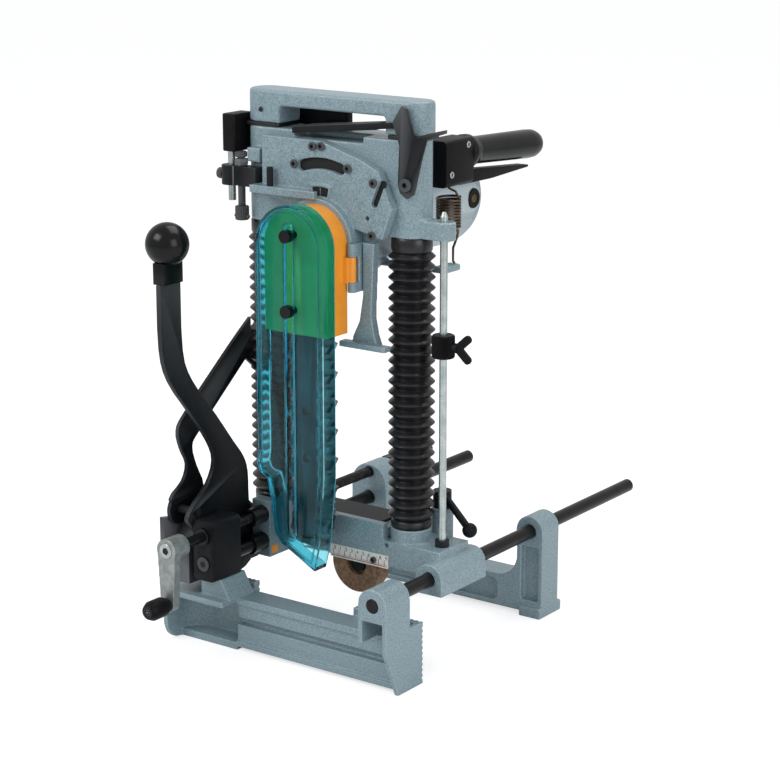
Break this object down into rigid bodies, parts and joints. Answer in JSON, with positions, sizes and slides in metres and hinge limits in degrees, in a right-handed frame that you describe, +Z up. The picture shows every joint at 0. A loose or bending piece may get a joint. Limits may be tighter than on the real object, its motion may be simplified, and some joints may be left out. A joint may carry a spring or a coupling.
{
  "type": "chain mortiser",
  "caption": "Chain mortiser: a plunging chain head on two sprung columns, on a carriage that slides between two screw-driven clamping jaws with guide bars.",
  "frame": {"origin": "on the ground under the middle of the machine, with the chain fully raised", "axes": "+X to the right along the jaws, +Y from the front jaw to the rear jaw, +Z up"},
  "size_m": [0.3057, 0.5995, 0.586],
  "materials": {
    "casting": "hammered grey-blue enamel",
    "black_paint": "black enamel, half gloss",
    "black_plastic": "black moulded plastic",
    "rubber": "black rubber, matte",
    "steel": "bright ground steel",
    "chain_steel": "oiled tool steel",
    "spring_steel": "dark spring steel",
    "core": "stacked laminations",
    "green_cover": "green, gloss",
    "orange_cover": "orange, half gloss",
    "clear_guard": "clear teal",
    "scale": "white with red and black lines",
    "disc": "pressed wood fibre"
  },
  "bodies": {
    "frame": {"front_jaw": "casting", "guide_bars": "black_paint", "screw_bearing": "black_paint"},
    "screw": {"lead_screw": "steel", "crank_arm": "steel"},
    "knob": {"crank_knob": "black_plastic"},
    "rear jaw": {"rear_jaw": "casting", "screw_nut": "steel"},
    "carriage": {"base_casting": "casting", "bar_sleeves": "black_plastic", "columns": "steel", "bellows": "rubber", "column_springs": "spring_steel", "lever_bracket": "black_paint", "bracket_bolts": "black_paint", "scale_strip": "scale", "scale_screw": "black_paint", "chip_disc": "disc", "disc_bolt": "black_paint", "depth_rod": "steel", "rod_nut": "black_paint", "base_strap": "black_paint"},
    "lock": {"lock_lever": "black_paint"},
    "stop": {"stopper": "black_plastic"},
    "wing": {"wing_screw": "black_paint"},
    "head": {"head_casting": "casting", "gear_cover": "casting", "cover_screws": "black_paint", "carry_handle": "casting", "handle_gasket": "rubber", "motor_housing": "casting", "field_core": "core", "brush_caps": "black_plastic", "switch_housing": "black_plastic", "rear_grip": "black_plastic", "return_spring": "spring_steel", "oil_tank": "black_plastic", "adjuster_rod": "steel", "adjuster_clamp": "black_paint", "adjuster_screws": "black_paint", "chain_bar": "chain_steel", "chain": "chain_steel", "chip_chute": "casting", "hinge_pins": "steel", "trigger_pin": "steel", "latch_bolt": "black_paint"},
    "switch": {"trigger": "black_plastic"},
    "latch": {"latch_plate": "black_paint", "latch_bar": "black_paint"},
    "cover": {"cover_front": "green_cover", "cover_rear": "orange_cover", "cover_knobs": "black_plastic"},
    "guard": {"chain_guard": "clear_guard"},
    "drive": {"sprocket": "steel", "output_shaft": "steel"},
    "rotor": {"armature": "core"},
    "lever": {"lever_arm": "black_paint", "lever_ball": "black_plastic", "lever_pins": "steel"},
    "link": {"link_bar": "black_paint"}
  },
  "joints": [
    {"name": "screw_spin", "type": "hinge", "parent": "frame", "child": "screw", "pos_m": [-0.0905, -0.2, 0.129], "axis": [0, 1, 0], "range_deg": [-9000, 5400]},
    {"name": "knob_spin", "type": "hinge", "parent": "screw", "child": "knob", "pos_m": [-0.0905, -0.28, 0.071], "axis": [0, 1, 0], "continuous": true},
    {"name": "rear_jaw_slide", "type": "slide", "parent": "frame", "child": "rear jaw", "axis": [0, 1, 0], "range_m": [-0.101, 0.061]},
    {"name": "carriage_slide", "type": "slide", "parent": "frame", "child": "carriage", "axis": [0, 1, 0], "range_m": [0, 0.1]},
    {"name": "lock_turn", "type": "hinge", "parent": "carriage", "child": "lock", "pos_m": [0.091, -0.032, 0.15], "axis": [0, 0, 1], "range_deg": [0, 60]},
    {"name": "stop_slide", "type": "slide", "parent": "carriage", "child": "stop", "axis": [0, 0, 1], "range_m": [-0.16, 0.07]},
    {"name": "wing_turn", "type": "hinge", "parent": "stop", "child": "wing", "pos_m": [0.13, -0.072, 0.337], "axis": [1, 0, 0], "continuous": true},
    {"name": "head_slide", "type": "slide", "parent": "carriage", "child": "head", "axis": [0, 0, 1], "range_m": [-0.075, 0], "stiffness_N_per_m": 400, "springref_m": 0.6, "deforming": ["bellows", "column_springs"]},
    {"name": "lever_pivot", "type": "hinge", "parent": "carriage", "child": "lever", "pos_m": [-0.105, -0.1325, 0.09], "axis": [1, 0, 0], "range_deg": [0, 36.2]},
    {"name": "link_pivot", "type": "hinge", "parent": "lever", "child": "link", "pos_m": [-0.132, -0.2006, 0.15], "axis": [1, 0, 0], "range_deg": [-43.9, 0]},
    {"name": "cover_hinge", "type": "hinge", "parent": "head", "child": "cover", "pos_m": [0.032, -0.112, 0.41], "axis": [0, 0, 1], "range_deg": [0, 90]},
    {"name": "guard_slide", "type": "slide", "parent": "cover", "child": "guard", "axis": [0, 0, 1], "range_m": [0, 0.235]},
    {"name": "latch_hinge", "type": "hinge", "parent": "head", "child": "latch", "pos_m": [0.091, -0.097, 0.504], "axis": [0, 1, 0], "range_deg": [0, 3.5]},
    {"name": "trigger_hinge", "type": "hinge", "parent": "head", "child": "switch", "pos_m": [0.083, 0.005, 0.498], "axis": [1, 0, 0], "range_deg": [0, 2], "stiffness_Nm_per_rad": 1.2, "springref_deg": -8.59},
    {"name": "sprocket_spin", "type": "hinge", "parent": "head", "child": "drive", "pos_m": [-0.013, -0.12, 0.437], "axis": [0, 1, 0], "continuous": true},
    {"name": "armature_spin", "type": "hinge", "parent": "head", "child": "rotor", "pos_m": [-0.013, 0.05, 0.46], "axis": [0, 1, 0], "continuous": true}
  ],
  "couplings": [
    {"joint": "rear_jaw_slide", "follows": "screw_spin", "m_per_rad": 0.00063662},
    {"joint": "lever_pivot", "follows": "head_slide", "rad_per_m": -8.3988},
    {"joint": "link_pivot", "follows": "head_slide", "rad_per_m": 10.199},
    {"joint": "guard_slide", "follows": "head_slide", "ratio": -1},
    {"joint": "armature_spin", "follows": "sprocket_spin", "ratio": -2.8333}
  ]
}
